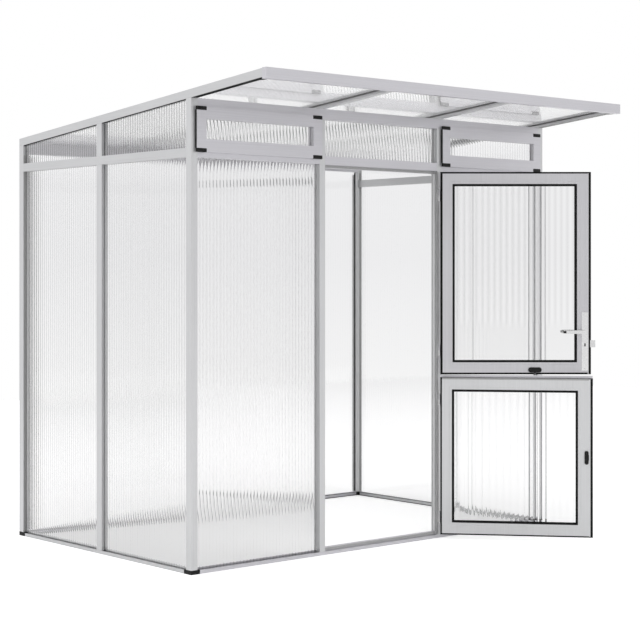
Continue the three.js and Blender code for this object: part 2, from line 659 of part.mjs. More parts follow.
// Wall panels
const panelBottom = RAIL_GROOVE_BOTTOM + FIT_GAP;
const lowerFrontZ = [panelBottom, transomBottom + grooveReach];
const upperFrontZ = [transomTop - grooveReach, headerBottom + grooveReach];
addPiece("front_panel_left", box(panelLeftX, frontPanelY, lowerFrontZ), SHEET);
addPiece("front_panel_right", box(panelRightX, frontPanelY, lowerFrontZ), SHEET);
addPiece("front_panel_upper_middle", box(panelMiddleX, frontPanelY, upperFrontZ), SHEET);

const backPanelZ = [panelBottom, eaveBottom + grooveReach];
addPiece("back_panel_left", box(panelLeftX, backPanelY, backPanelZ), SHEET);
addPiece("back_panel_middle", box(panelMiddleX, backPanelY, backPanelZ), SHEET);
addPiece("back_panel_right", box(panelRightX, backPanelY, backPanelZ), SHEET);

const lowerGableZ = [panelBottom, gableRailBottom + grooveReach];
const upperGableBottom = gableRailTop - grooveReach;
const gablePanelLower = (spanY) => box(leftPanelX, spanY, lowerGableZ);
const gablePanelUpper = (spanY) =>
  slopingPrism(() => upperGableBottom, (y) => rafterUnder(y) + grooveReach, spanY, leftPanelX);
for (const [place, spanY] of [["front", panelGableFrontY], ["back", panelGableBackY]]) {
  addPiece("gable_left_panel_lower_" + place, gablePanelLower(spanY), SHEET);
  addPiece("gable_left_panel_upper_" + place, gablePanelUpper(spanY), SHEET);
  addPiece("gable_right_panel_lower_" + place, mirrored(gablePanelLower(spanY)), SHEET);
  addPiece("gable_right_panel_upper_" + place, mirrored(gablePanelUpper(spanY)), SHEET);
}

// Vent sashes: a proud flange over the frame, a body inside the opening and a pane in its groove
const sashFlangeY = [-SASH_PROUD, -SASH_FACE_GAP];
const sashPaneY = [SASH_PANE_SETBACK, SASH_PANE_SETBACK + PANEL_THICK];
const sashOpeningZ = [sashBottom + SASH_BOTTOM_RAIL, sashTop - SASH_TOP_RAIL];
const sashBodyZ = [transomTop + SASH_BODY_FOOT_GAP, headerBottom - SASH_BODY_GAP];
const sashPaneReach = SASH_PANE_GROOVE - FIT_GAP;

function ventPocket(centreX) {
  const low = ventAxisZ - VENT_LUG_RADIUS - VENT_POCKET_CLEARANCE;
  const pocketY = [-SASH_PROUD + VENT_POCKET_WALL, CUT_OVERRUN];
  return box(around(centreX, VENT_POCKET_WIDE), pocketY, [low, sashTop + CUT_OVERRUN]);
}

function ventPin(centreX) {
  return cylinder(VENT_PIN_RADIUS, "x", around(centreX, VENT_POCKET_WIDE + SASH_PROUD), ventAxis);
}

function ventSash(sashX, bayX) {
  const openingX = narrower(sashX, SASH_STILE);
  const centres = ventHingeCentresOf(sashX);
  const ring = cut(
    join(
      box(sashX, sashFlangeY, [sashBottom, sashTop]),
      box(narrower(bayX, SASH_BODY_GAP), [sashFlangeY[1], SASH_BODY_BACK], sashBodyZ),
    ),
    box(openingX, fullY, sashOpeningZ),
    box(wider(openingX, SASH_PANE_GROOVE), wider(sashPaneY, FIT_GAP), wider(sashOpeningZ, SASH_PANE_GROOVE)),
    ...centres.map(ventPocket),
  );
  return join(ring, ...centres.map(ventPin));
}

function ventPane(sashX) {
  const openingX = narrower(sashX, SASH_STILE);
  return box(wider(openingX, sashPaneReach), sashPaneY, wider(sashOpeningZ, sashPaneReach));
}

addPiece("vent_left_sash", ventSash(sashLeftX, bayLeftX), ALUMINIUM);
addPiece("vent_left_pane", ventPane(sashLeftX), SHEET);
addPiece("vent_right_sash", ventSash(sashRightX, bayRightX), ALUMINIUM);
addPiece("vent_right_pane", ventPane(sashRightX), SHEET);

// Door leaves, built closed and then swung to their rest angles
const leafFlangeY = [LEAF_FLANGE_FRONT, LEAF_FLANGE_BACK];
const leafBodyY = [LEAF_FLANGE_BACK, LEAF_BODY_BACK];
const leafBodyX = narrower(leafX, LEAF_BODY_INSET);
const leafOpeningX = [leafX[0] + LEAF_FREE_STILE, leafX[1] - LEAF_HINGE_STILE];
const leafPaneY = [LEAF_PANE_FRONT, LEAF_PANE_FRONT + PANEL_THICK];
const leafPaneReach = LEAF_PANE_GROOVE - FIT_GAP;
const hingeAxis = [hingeX, HINGE_Y];

function leafKnuckle(centreZ) {
  const knuckleZ = [centreZ + HINGE_HALF_GAP / 2, centreZ + HINGE_HALF_TALL];
  const boreZ = [centreZ - CUT_OVERRUN, centreZ + HINGE_PIN_RISE + HINGE_BORE_END];
  return {
    solid: join(
      cylinder(HINGE_RADIUS, "z", knuckleZ, hingeAxis),
      box([hingeX - HINGE_LEAF_WEB_REACH, hingeX], [HINGE_LEAF_WEB_FRONT, HINGE_LEAF_WEB_BACK], knuckleZ),
    ),
    bore: cylinder(HINGE_PIN_RADIUS + HINGE_PIN_CLEARANCE, "z", boreZ, hingeAxis),
  };
}

function leafFrame(flangeZ, bodyZ, openingZ, hingeHeights) {
  const knuckles = hingeHeights.map(leafKnuckle);
  const ring = cut(
    join(box(leafX, leafFlangeY, flangeZ), box(leafBodyX, leafBodyY, bodyZ)),
    box(leafOpeningX, fullY, openingZ),
    box(wider(leafOpeningX, LEAF_PANE_GROOVE), wider(leafPaneY, FIT_GAP), wider(openingZ, LEAF_PANE_GROOVE)),
  );
  return cut(join(ring, ...knuckles.map((k) => k.solid)), ...knuckles.map((k) => k.bore));
}

function leafPane(openingZ) {
  return box(wider(leafOpeningX, leafPaneReach), leafPaneY, wider(openingZ, leafPaneReach));
}

// Lever, backplate and tongue
const leverAxis = [leverX, leverZ];
const backplateY = [LEAF_BODY_BACK + FIT_GAP, LEAF_BODY_BACK + FIT_GAP + BACKPLATE_THICK];
const spindleHole = cylinder(SPINDLE_RADIUS + SPINDLE_CLEARANCE, "y", fullY, leverAxis);
const tonguePocket = box(
  [leafX[0], tongueX[1] + TONGUE_TRAVEL + FIT_GAP],
  wider(tongueY, FIT_GAP),
  wider(tongueZ, FIT_GAP),
);

function leverGrip(lowY) {
  const gripY = [lowY, lowY + GRIP_THICK];
  return join(
    cylinder(GRIP_RADIUS, "y", gripY, leverAxis),
    cylinder(GRIP_RADIUS, "y", gripY, [leverX + GRIP_REACH - GRIP_RADIUS, leverZ]),
    box([leverX, leverX + GRIP_REACH - GRIP_RADIUS], gripY, around(leverZ, GRIP_RADIUS * 2)),
  );
}

const leverHandle = join(
  cylinder(SPINDLE_RADIUS, "y", [OUTER_GRIP_Y, INNER_GRIP_Y], leverAxis),
  leverGrip(INNER_GRIP_Y),
  leverGrip(OUTER_GRIP_Y),
);
const leverBackplate = cut(
  box(
    around(leverX, BACKPLATE_WIDE),
    backplateY,
    [leverZ - BACKPLATE_BELOW_LEVER, leverZ + BACKPLATE_ABOVE_LEVER],
  ),
  spindleHole,
);
const tongueOutline = [
  [tongueX[0] + TONGUE_BEVEL, tongueY[0]],
  [tongueX[1], tongueY[0]],
  [tongueX[1], tongueY[1]],
  [tongueX[0], tongueY[1]],
  [tongueX[0], tongueY[0] + FACE_LIP],
];
const latchTongue = prism(tongueOutline, "z", tongueZ);

// Bolts: a flat tab in the bar, a stem through its inner face and a knob with rounded ends
const boltStemY = [BOLT_BACK, LEAF_BODY_BACK + FIT_GAP];
const boltKnobY = [boltStemY[1], boltStemY[1] + BOLT_KNOB_THICK];
const boltSlotFaceY = [BOLT_BACK, LEAF_BODY_BACK + CUT_OVERRUN];

const upperBoltX = leafX[1] - UPPER_BOLT_FROM_HINGE_EDGE;
const upperBoltTabX = around(upperBoltX, UPPER_BOLT_TAB_WIDE);
const liftedZ = (base, lift, tall) => [base + lift, base + lift + tall];
const upperBoltTabZ = liftedZ(upperLeafBottom, UPPER_BOLT_TAB_LIFT, UPPER_BOLT_TAB_TALL);
const upperBoltStemZ = liftedZ(upperLeafBottom, UPPER_BOLT_STEM_LIFT, UPPER_BOLT_STEM_TALL);
const upperBoltKnobZ = liftedZ(upperLeafBottom, UPPER_BOLT_KNOB_LIFT, UPPER_BOLT_KNOB_TALL);
const upperBoltStemX = around(upperBoltX, UPPER_BOLT_STEM_WIDE);
const upperBoltKnobRadius = UPPER_BOLT_KNOB_TALL / 2;
const upperBoltKnobMiddle = upperBoltKnobZ[0] + upperBoltKnobRadius;
const upperBoltKnobX = around(upperBoltX, UPPER_BOLT_KNOB_WIDE - upperBoltKnobRadius * 2);
const upperLeafBolt = join(
  box(upperBoltTabX, boltY, upperBoltTabZ),
  box(upperBoltStemX, boltStemY, upperBoltStemZ),
  box(upperBoltKnobX, boltKnobY, upperBoltKnobZ),
  cylinder(upperBoltKnobRadius, "y", boltKnobY, [upperBoltKnobX[0], upperBoltKnobMiddle]),
  cylinder(upperBoltKnobRadius, "y", boltKnobY, [upperBoltKnobX[1], upperBoltKnobMiddle]),
);
const upperBoltSlot = join(
  box(wider(upperBoltTabX, FIT_GAP), wider(boltY, FIT_GAP), [upperLeafBottom, upperBoltTabZ[1] + FIT_GAP]),
  box(
    wider(upperBoltStemX, FIT_GAP),
    boltSlotFaceY,
    [upperLeafBottom, upperBoltStemZ[1] + FIT_GAP],
  ),
);
const upperBoltKeeper = box(
  wider(upperBoltTabX, KEEPER_CLEARANCE),
  wider(boltY, KEEPER_CLEARANCE),
  [upperBoltTabZ[0] - UPPER_BOLT_TRAVEL - KEEPER_CLEARANCE, lowerLeafTop + CUT_OVERRUN],
);

const lowerBoltStemX = [leafX[0] + LOWER_BOLT_STEM_IN, leafX[0] + LOWER_BOLT_STEM_IN + LOWER_BOLT_STEM_WIDE];
const lowerBoltKnobX = [leafX[0] + LOWER_BOLT_KNOB_IN, leafX[0] + LOWER_BOLT_KNOB_IN + LOWER_BOLT_KNOB_WIDE];
const lowerBoltKnobRadius = LOWER_BOLT_KNOB_WIDE / 2;
const lowerBoltKnobMiddle = lowerBoltKnobX[0] + lowerBoltKnobRadius;
const lowerBoltKnobZ = around(lowerBoltMiddle, LOWER_BOLT_KNOB_TALL - LOWER_BOLT_KNOB_WIDE);
const lowerLeafBolt = join(
  box(lowerBoltTabX, boltY, lowerBoltTabZ),
  box(lowerBoltStemX, boltStemY, lowerBoltTabZ),
  box(lowerBoltKnobX, boltKnobY, lowerBoltKnobZ),
  cylinder(lowerBoltKnobRadius, "y", boltKnobY, [lowerBoltKnobMiddle, lowerBoltKnobZ[0]]),
  cylinder(lowerBoltKnobRadius, "y", boltKnobY, [lowerBoltKnobMiddle, lowerBoltKnobZ[1]]),
);
const lowerBoltSlot = join(
  box([leafX[0], lowerBoltTabX[1] + FIT_GAP], wider(boltY, FIT_GAP), wider(lowerBoltTabZ, FIT_GAP)),
  box(
    [lowerBoltStemX[0] - LOWER_BOLT_TRAVEL - FIT_GAP, lowerBoltStemX[1] + FIT_GAP],
    boltSlotFaceY,
    wider(lowerBoltTabZ, FIT_GAP),
  ),
);

const upperLeafZ = [upperLeafBottom, upperLeafTop];
const lowerLeafZ = [LOWER_LEAF_BOTTOM, lowerLeafTop];
const upperBodyZ = [upperLeafBottom + LEAF_MEETING_INSET, upperLeafTop - LEAF_BODY_INSET];
const lowerBodyZ = [LOWER_LEAF_BOTTOM + LEAF_BODY_INSET, lowerLeafTop - LEAF_MEETING_INSET];
const upperOpeningZ = narrower(upperLeafZ, UPPER_LEAF_RAIL);
const lowerOpeningZ = [LOWER_LEAF_BOTTOM + LOWER_LEAF_BOTTOM_RAIL, lowerLeafTop - LOWER_LEAF_TOP_RAIL];
const upperHingeHeights = [upperLeafBottom + UPPER_HINGE_FROM_BOTTOM, upperLeafTop - UPPER_HINGE_FROM_TOP];
const lowerHingeHeights = [LOWER_LEAF_BOTTOM + LOWER_HINGE_FROM_BOTTOM, lowerLeafTop - LOWER_HINGE_FROM_TOP];
const upperLeafFrame = cut(
  leafFrame(upperLeafZ, upperBodyZ, upperOpeningZ, upperHingeHeights),
  spindleHole,
  tonguePocket,
  upperBoltSlot,
);
const lowerLeafFrame = cut(
  leafFrame(lowerLeafZ, lowerBodyZ, lowerOpeningZ, lowerHingeHeights),
  lowerBoltSlot,
  upperBoltKeeper,
);
addPiece("upper_leaf_frame", swung(upperLeafFrame, UPPER_LEAF_ANGLE), ALUMINIUM);
addPiece("upper_leaf_pane", swung(leafPane(upperOpeningZ), UPPER_LEAF_ANGLE), SHEET);
addPiece("lever_backplate", swung(leverBackplate, UPPER_LEAF_ANGLE), STEEL);
addPiece("lever_handle", swung(leverHandle, UPPER_LEAF_ANGLE), CHROME);
addPiece("latch_tongue", swung(latchTongue, UPPER_LEAF_ANGLE), STEEL);
addPiece("upper_leaf_bolt", swung(upperLeafBolt, UPPER_LEAF_ANGLE), BLACK_PLASTIC);
addPiece("lower_leaf_frame", swung(lowerLeafFrame, LOWER_LEAF_ANGLE), ALUMINIUM);
addPiece("lower_leaf_pane", swung(leafPane(lowerOpeningZ), LOWER_LEAF_ANGLE), SHEET);
addPiece("lower_leaf_bolt", swung(lowerLeafBolt, LOWER_LEAF_ANGLE), BLACK_PLASTIC);

// Hinge strips on the right door post, with a knuckle and a pin under each knuckle of the leaf
function postKnuckle(centreZ) {
  const knuckleZ = [centreZ - HINGE_HALF_TALL, centreZ - HINGE_HALF_GAP / 2];
  return join(
    cylinder(HINGE_RADIUS, "z", knuckleZ, hingeAxis),
    cylinder(HINGE_PIN_RADIUS, "z", [knuckleZ[0], centreZ + HINGE_PIN_RISE], hingeAxis),
    box([hingeX - HINGE_POST_WEB_LEFT, hingeX + HINGE_POST_WEB_RIGHT], [HINGE_Y, -FIT_GAP], knuckleZ),
  );
}

function hingeStrip([low, high]) {
  return join(
    box(
      [hingeX - HINGE_STRIP_LEFT, hingeX + HINGE_STRIP_RIGHT],
      [-FIT_GAP - HINGE_STRIP_THICK, -FIT_GAP],
      [low - HINGE_STRIP_END, high + HINGE_STRIP_END],
    ),
    postKnuckle(low),
    postKnuckle(high),
  );
}

addPiece("upper_hinge_strip", hingeStrip(upperHingeHeights), STEEL);
addPiece("lower_hinge_strip", hingeStrip(lowerHingeHeights), STEEL);

export default part;
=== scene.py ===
import bmesh
import bpy
import math
from mathutils import Matrix, Vector


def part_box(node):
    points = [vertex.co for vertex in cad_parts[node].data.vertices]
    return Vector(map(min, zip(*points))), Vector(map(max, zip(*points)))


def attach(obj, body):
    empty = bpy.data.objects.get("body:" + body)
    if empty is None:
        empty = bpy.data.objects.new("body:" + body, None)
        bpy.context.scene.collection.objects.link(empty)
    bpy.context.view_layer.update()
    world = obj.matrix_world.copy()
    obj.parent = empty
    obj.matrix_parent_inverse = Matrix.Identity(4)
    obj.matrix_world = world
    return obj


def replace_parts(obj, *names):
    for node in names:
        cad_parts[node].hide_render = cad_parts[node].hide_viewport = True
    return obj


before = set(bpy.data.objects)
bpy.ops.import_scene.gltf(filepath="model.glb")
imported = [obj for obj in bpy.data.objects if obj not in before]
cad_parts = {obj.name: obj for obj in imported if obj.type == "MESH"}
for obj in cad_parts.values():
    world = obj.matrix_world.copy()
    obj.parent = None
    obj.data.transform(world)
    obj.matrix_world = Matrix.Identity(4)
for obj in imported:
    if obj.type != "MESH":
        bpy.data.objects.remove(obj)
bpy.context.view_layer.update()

# Shapes are written in millimetres from the outer bottom corner at the front left, as in the part's
# source: X right, Y back, Z up. ORIGIN is the part's own origin in those terms.
ORIGIN = Vector((1220.0, 1511.5, 0.0))
WIDTH = 2440.0
DEPTH = 1532.0
ROOF_BACK_HEIGHT = 2109.0
ROOF_RISE_SHARE = 0.09
RAFTER_DEEP = 40

# Clear sheets: rib pitch, rib depth of each group of sheets, and steps across one rib
WALL_PITCH = 20.0
ROOF_PITCH = 20.0
LEAF_PITCH = 24.0
FRONT_RIB = 3.6
WALL_RIB = 1.2
FAR_RIB = 0.4
LEAF_RIB = 1.0
ROOF_RIB = 0.12
RIB_STEPS = 12
GABLE_SHEET_REACH = 8       # above the underside of the rafter
ROOF_SHEET_LIFT = 16.5      # above the underside of the rafter
ROOF_SHEET_THICK = 5.0

# Door leaves, as they lie when closed
HINGE = Vector((1615.0, -7.5, 0.0))
OPEN_DEGREES = {"upper": 138.9, "lower": 130.8}
LEAF_X = (817.5, 1609.5)
LEAF_Z = {"upper": (862.0, 1926.9), "lower": (20.0, 847.0)}
LEAF_OPENING_X = (894.5, 1547.5)
LEAF_OPENING_Z = {"upper": (926.5, 1862.4), "lower": (87.5, 785.0)}
LEAF_GROOVE = 6.7
LEAF_FLANGE = 8.3
MEETING_FLANGE = 3.9        # where the two leaves meet
INNER_BEAD_WIDE = 12
OUTER_BEAD_WIDE = 10
GLAZING_BAR_WIDE = 12.6
GLAZING_BAR_REACH = 13.0    # from the opening to the bar's outer edge
LIP_HINGE_X = (1599.5, 1602.6)
LIP_BETWEEN_X = (838.5, 1599.5)
LIP_FREE_X = {"upper": (825.6, 833.5), "lower": (825.6, 830.5)}
BOLT_STEM_X = (1109.8, 1121.2)

# Levels through the closed doorway, along Y. The lips stay thinner than the clearance to the strips
# of the frame and to the knobs of the bolts.
FIN_Y = (-12.9, -10.6)
SEAL_Y = (-9.9, -3.0)
OUTER_BEAD_Y = (-9.0, 3.8)
LEAF_SHEET_Y = (4.0, 10.0)
INNER_BEAD_Y = (10.2, 16.5)
LIP_Y = (16.9, 17.7)
GLAZING_BAR_Y = (17.5, 19.3)
FRAME_STRIP_Y = (17.9, 18.3)

# Vent sashes
SASH_X = {"left": (22.3, 792.3), "right": (1635.7, 2408.5)}
SASH_Z = (1956.9, 2168.9)


def to_row(point):
    return (Vector(point) - ORIGIN) / 1000


def millimetres(node):
    """The lowest and highest X, Y and Z of a CAD node, in the terms used here."""
    low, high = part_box(node)
    return [(low[k] * 1000 + ORIGIN[k], high[k] * 1000 + ORIGIN[k]) for k in range(3)]


def rafter_under(y):
    return ROOF_BACK_HEIGHT + ROOF_RISE_SHARE * (DEPTH - y) - RAFTER_DEEP


def closed(point):
    return point


def swung(degrees):
    """Takes a point of a closed leaf to where it is with the leaf open."""
    turn = Matrix.Rotation(math.radians(degrees), 3, "Z")
    return lambda point: turn @ (Vector(point) - HINGE) + HINGE


opened = {leaf: swung(degrees) for leaf, degrees in OPEN_DEGREES.items()}


# ---------------------------------------------------------------- materials
class Nodes:
    """Adds shader nodes to a material or world, and sets or links their inputs."""

    def __init__(self, owner, output="OutputMaterial"):
        owner.use_nodes = True
        self.owner = owner
        self.tree = owner.node_tree
        self.tree.nodes.clear()
        self.output = self.add(output)

    def add(self, kind, **values):
        node = self.tree.nodes.new("ShaderNode" + kind)
        for key, value in values.items():
            if key in node.bl_rna.properties:
                setattr(node, key, value)
            else:
                self.set(node, key.replace("_", " "), value)
        return node

    def math(self, operation, *values):
        node = self.add("Math", operation=operation)
        for number, value in enumerate(values):
            self.set(node, number, value)
        return node

    def set(self, node, key, value):
        """Gives an input a value, or links it to a node's first output or to (node, output)."""
        if isinstance(value, bpy.types.Node):
            value = (value, 0)
        if isinstance(value, tuple) and isinstance(value[0], bpy.types.Node):
            self.tree.links.new(value[0].outputs[value[1]], node.inputs[key])
        else:
            node.inputs[key].default_value = value

    def finish(self, shader):
        self.set(self.output, "Surface", shader)
        return self.owner


def material_nodes(name):
    """Nodes for a new material, and the output that gives the place on the object."""
    nodes = Nodes(bpy.data.materials.new(name))
    return nodes, (nodes.add("TexCoord"), "Object")


def grey(value, tint=(1, 1, 1)):
    return tuple(value * part for part in tint) + (1,)


def ramp(nodes, factor, stops):
    node = nodes.add("ValToRGB", Fac=factor)
    elements = node.color_ramp.elements
    while len(elements) < len(stops):
        elements.new(0.5)
    for element, (place, colour) in zip(elements, stops):
        element.position = place
        element.color = colour
    return node


def mottled(nodes, factor, low, high):
    """A colour that goes from low to high over the middle of a noise's range."""
    return (ramp(nodes, factor, [(0.3, low), (0.7, high)]), "Color")


def aluminium(name, along, level, tint=(0.985, 0.99, 1.0)):
    """Satin extruded aluminium with faint draw lines along one direction."""
    nodes, place = material_nodes(name)
    scale = tuple(1.5 if axis == along else 240 for axis in "XYZ")
    stretched = nodes.add("Mapping", Vector=place, Scale=scale)
    lines = nodes.add("TexNoise", Vector=stretched, Scale=1.0, Detail=3.0, Roughness=0.6)
    cloud = nodes.add("TexNoise", Vector=place, Scale=2.2, Detail=2.0)
    blend = nodes.add("Mix", data_type="FLOAT")
    for number, value in ((0, 0.35), (2, (lines, "Fac")), (3, (cloud, "Fac"))):
        nodes.set(blend, number, value)
    colour = mottled(nodes, blend, grey(level * 0.94, tint), grey(level * 1.06, tint))
    bump = nodes.add("Bump", Strength=0.05, Distance=0.0004, Height=(lines, "Fac"))
    return nodes.finish(nodes.add(
        "BsdfPrincipled", Metallic=0.7, Roughness=0.36, Base_Color=colour, Normal=bump))


def plastic(name, level, roughness):
    """Moulded plastic or rubber with a fine grain."""
    nodes, place = material_nodes(name)
    grain = nodes.add("TexNoise", Vector=place, Scale=900.0, Detail=2.0)
    colour = mottled(nodes, (grain, "Fac"), grey(level * 0.8), grey(level * 1.25))
    bump = nodes.add("Bump", Strength=0.2, Distance=0.0002, Height=(grain, "Fac"))
    return nodes.finish(nodes.add(
        "BsdfPrincipled", Roughness=roughness, Specular_IOR_Level=0.15, Base_Color=colour,
        Normal=bump))


def steel(name, level, roughness):
    """Plated metal with a slight unevenness in its gloss."""
    nodes, place = material_nodes(name)
    wear = nodes.add("TexNoise", Vector=place, Scale=160.0, Detail=3.0)
    colour = mottled(nodes, (wear, "Fac"), grey(level * 0.93), grey(level * 1.05))
    gloss = nodes.add(
        "MapRange", Value=(wear, "Fac"), To_Min=roughness * 0.8, To_Max=roughness * 1.3)
    return nodes.finish(nodes.add(
        "BsdfPrincipled", Metallic=1.0, Base_Color=colour, Roughness=gloss))


def clear_sheet(name, across, pitch, start, tones, roughness=0.0, stripes_above=None):
    """Clear ribbed sheet. Its webs are darker than its ribs: their own tone, with painted shade and
    reflection.

    pitch is in millimetres, and start, where the first rib begins along the axis across, in metres.
    tones are those of web and rib. stripes_above is the height in metres below which their
    difference fades out.
    """
    nodes, place = material_nodes(name)
    parts = nodes.add("SeparateXYZ", Vector=place)
    shifted = nodes.math("SUBTRACT", (parts, across), start)
    share = nodes.math("FRACT", nodes.math("DIVIDE", shifted, pitch / 1000))
    web, rib = (grey(tone) for tone in tones)
    colour = (ramp(nodes, share, [(0.0, web), (0.3, web), (0.42, rib), (0.82, rib), (1.0, web)]), 0)
    if stripes_above:
        fade = nodes.add(
            "MapRange", Value=(parts, "Z"), From_Min=stripes_above - 0.03,
            From_Max=stripes_above + 0.03)
        mixed = nodes.add("Mix", data_type="RGBA")
        for number, value in ((0, fade), (6, grey(sum(tones) / 2)), (7, colour)):
            nodes.set(mixed, number, value)
        colour = (mixed, 2)
    haze = nodes.add("TexNoise", Vector=place, Scale=6.0, Detail=3.0)
    dull = nodes.add(
        "MapRange", Value=(haze, "Fac"), To_Min=roughness, To_Max=roughness + 0.02)
    return nodes.finish(nodes.add(
        "BsdfPrincipled", IOR=1.49, Transmission_Weight=1.0, Base_Color=colour, Roughness=dull))


# The lavender tint of the bars along X is a painted tint of the light that falls on the model's
# front faces.
ALU_X_PAINTED_TINT = aluminium("aluminium_along_x_painted_tint", "X", 0.66, (0.99, 0.977, 1.025))
ALU_Y = aluminium("aluminium_along_y", "Y", 0.65)
ALU_Z = aluminium("aluminium_along_z", "Z", 0.67)
# The upper leaf's frame is a darker copy of the same aluminium with a lavender cast: painted shade
# and a painted tint of the light.
ALU_UPPER_LEAF_PAINTED_SHADE = aluminium("aluminium_upper_leaf_painted_shade", "Z", 0.61, (0.99, 0.982, 1.015))
BLACK = plastic("black_plastic", 0.016, 0.5)
RUBBER = plastic("black_rubber", 0.008, 0.7)
GREY_RUBBER = plastic("grey_rubber", 0.5, 0.6)
HOLDER_GREY = plastic("holder_grey", 0.6, 0.6)
# The next two greys are painted shade: strips that darken the mouths of channels, slots and
# recesses. The lighter one also colours the seal at the door's top and the right drip seal.
SEAL_AND_SHADE_GREY = plastic("grey_seal_and_painted_shade", 0.4, 0.6)
SHADOW_LINE = plastic("channel_shadow", 0.17, 0.6)
CHANNEL_DARK = plastic("channel_dark", 0.15, 0.6)
STEEL = steel("lock_steel", 0.72, 0.3)
CHROME = steel("lever_chrome", 0.85, 0.12)


# ---------------------------------------------------------------- shape helpers
BOX_FACES = [(0, 3, 2, 1), (4, 5, 6, 7), (0, 1, 5, 4), (1, 2, 6, 5), (2, 3, 7, 6), (3, 0, 4, 7)]
SHARP_DEGREES = 40
BEVEL_DEGREES = 35


def new_piece(name, vertices, faces, body, material, smooth=False, place=closed):
    mesh = bpy.data.meshes.new(name)
    mesh.from_pydata([to_row(place(point)) for point in vertices], [], faces)
    shape = bmesh.new()
    shape.from_mesh(mesh)
    bmesh.ops.recalc_face_normals(shape, faces=shape.faces)
    shape.to_mesh(mesh)
    shape.free()
    if smooth:
        mesh.shade_smooth()
        mesh.set_sharp_from_angle(angle=math.radians(SHARP_DEGREES))
    mesh.materials.append(material)
    piece = bpy.data.objects.new(name, mesh)
    bpy.context.scene.collection.objects.link(piece)
    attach(piece, body)
    return piece


def rounded(piece, width, segments=2):
    bevel = piece.modifiers.new("edge", "BEVEL")
    bevel.width = width / 1000
    bevel.segments = segments
    bevel.limit_method = "ANGLE"
    bevel.angle_limit = math.radians(BEVEL_DEGREES)
    return piece


def loop_of(x, z):
    return [(x[0], z[0]), (x[1], z[0]), (x[1], z[1]), (x[0], z[1])]


def block(name, x, y, z, body, slot, material, place=closed, edge=0.15, segments=1):
    """A box with rounded edges, by default those of a thin strip."""
    corners = [(px, py, pz) for pz in z for px, py in loop_of(x, y)]
    piece = new_piece(name, corners, BOX_FACES, body, material, place=place)
    return rounded(piece, edge, segments)


def ring(name, x, z, widths, y, body, slot, material, place=closed, edge=1.5):
    """A rectangular ring in a wall's plane. widths are those on the left, right, bottom and top."""
    left, right, bottom, top = widths
    outer = loop_of(x, z)
    inner = loop_of((x[0] + left, x[1] - right), (z[0] + bottom, z[1] - top))
    vertices = [(px, depth, pz) for depth in y for loop in (outer, inner) for px, pz in loop]
    faces = []
    for k in range(4):
        n = (k + 1) % 4
        faces += [
            (k, n, 4 + n, 4 + k), (8 + k, 12 + k, 12 + n, 8 + n),
            (k, 8 + k, 8 + n, n), (4 + k, 4 + n, 12 + n, 12 + k)]
    return rounded(new_piece(name, vertices, faces, body, material, place=place), edge)


def rib_count(span, pitch):
    return max(1, round((span[1] - span[0]) / pitch))


def rib_material(node, across, span, pitch, tones, frost=0.0):
    """The clear material of a sheet, with its stripes fitted to a whole number of ribs."""
    start = (span[0] - ORIGIN["XY".index(across)]) / 1000
    fitted = (span[1] - span[0]) / rib_count(span, pitch)
    return clear_sheet("clear_" + node, across, fitted, start, tones, frost)


def sheet_piece(name, rows, body, material, place=closed):
    """A clear sheet from rows, one for each step of its ribs.

    A row has four corners: the two ends of the flat face, then those of the ribbed one.
    """
    faces = []
    last = 4 * (len(rows) - 1)
    for a in range(0, last, 4):
        b = a + 4
        faces += [
            (a, a + 1, b + 1, b), (a + 2, b + 2, b + 3, a + 3),
            (a, b, b + 2, a + 2), (a + 1, a + 3, b + 3, b + 1)]
    faces += [(0, 2, 3, 1), (last, last + 1, last + 3, last + 2)]
    corners = [corner for row in rows for corner in row]
    return new_piece(name, corners, faces, body, material, True, place)


def arc_rise(step, pitch, deep):
    """How far a rib of circular section stands above its valley at one of its steps."""
    radius = (pitch * pitch / 4 + deep * deep) / (2 * deep)
    aside = pitch * ((step % RIB_STEPS) / RIB_STEPS - 0.5)
    return math.sqrt(radius * radius - aside * aside) - (radius - deep)


def ribbed(name, across, span, flat, ribs, bottom, top, pitch, deep, body, material, place=closed):
    """A sheet with one flat face and one face of upright ribs.

    across is "X" or "Y", the way along the wall. flat and ribs are where the two faces lie through
    the wall, and top is a height or a function of the place along the wall.
    """
    count = rib_count(span, pitch) * RIB_STEPS
    outward = 1 if ribs > flat else -1
    rows = []
    for k in range(count + 1):
        along = span[0] + (span[1] - span[0]) * k / count
        crest = ribs - outward * (deep - arc_rise(k, pitch, deep))
        high = top(along) if callable(top) else top
        rows.append([
            (along, depth, z) if across == "X" else (depth, along, z)
            for depth in (flat, crest) for z in (bottom, high)])
    return sheet_piece(name, rows, body, material, place)


# ---------------------------------------------------------------- bars, feet and metal parts
ALONG_X = (
    "base_rail_front", "base_rail_back", "front_transom", "front_header", "back_eave_rail",
    "roof_fascia")
ALONG_Y = (
    "base_rail_left", "base_rail_right", "gable_rail_left", "gable_rail_right", "rafter_left",
    "rafter_inner_left", "rafter_inner_right", "rafter_right")
OWN_FINISH = {
    "upper_leaf_frame": ALU_UPPER_LEAF_PAINTED_SHADE,
    "upper_leaf_bolt": BLACK, "lower_leaf_bolt": BLACK,
    "lever_handle": CHROME, "lever_backplate": CHROME,
    "latch_tongue": STEEL, "upper_hinge_strip": STEEL, "lower_hinge_strip": STEEL}


def finish_of(node):
    if node in OWN_FINISH:
        return OWN_FINISH[node]
    if node.startswith("foot_"):
        return BLACK
    if node in ALONG_X or node.endswith("_sash"):
        return ALU_X_PAINTED_TINT
    return ALU_Y if node in ALONG_Y else ALU_Z


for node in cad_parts:
    node_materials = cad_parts[node].data.materials
    node_materials.clear()
    node_materials.append(finish_of(node))


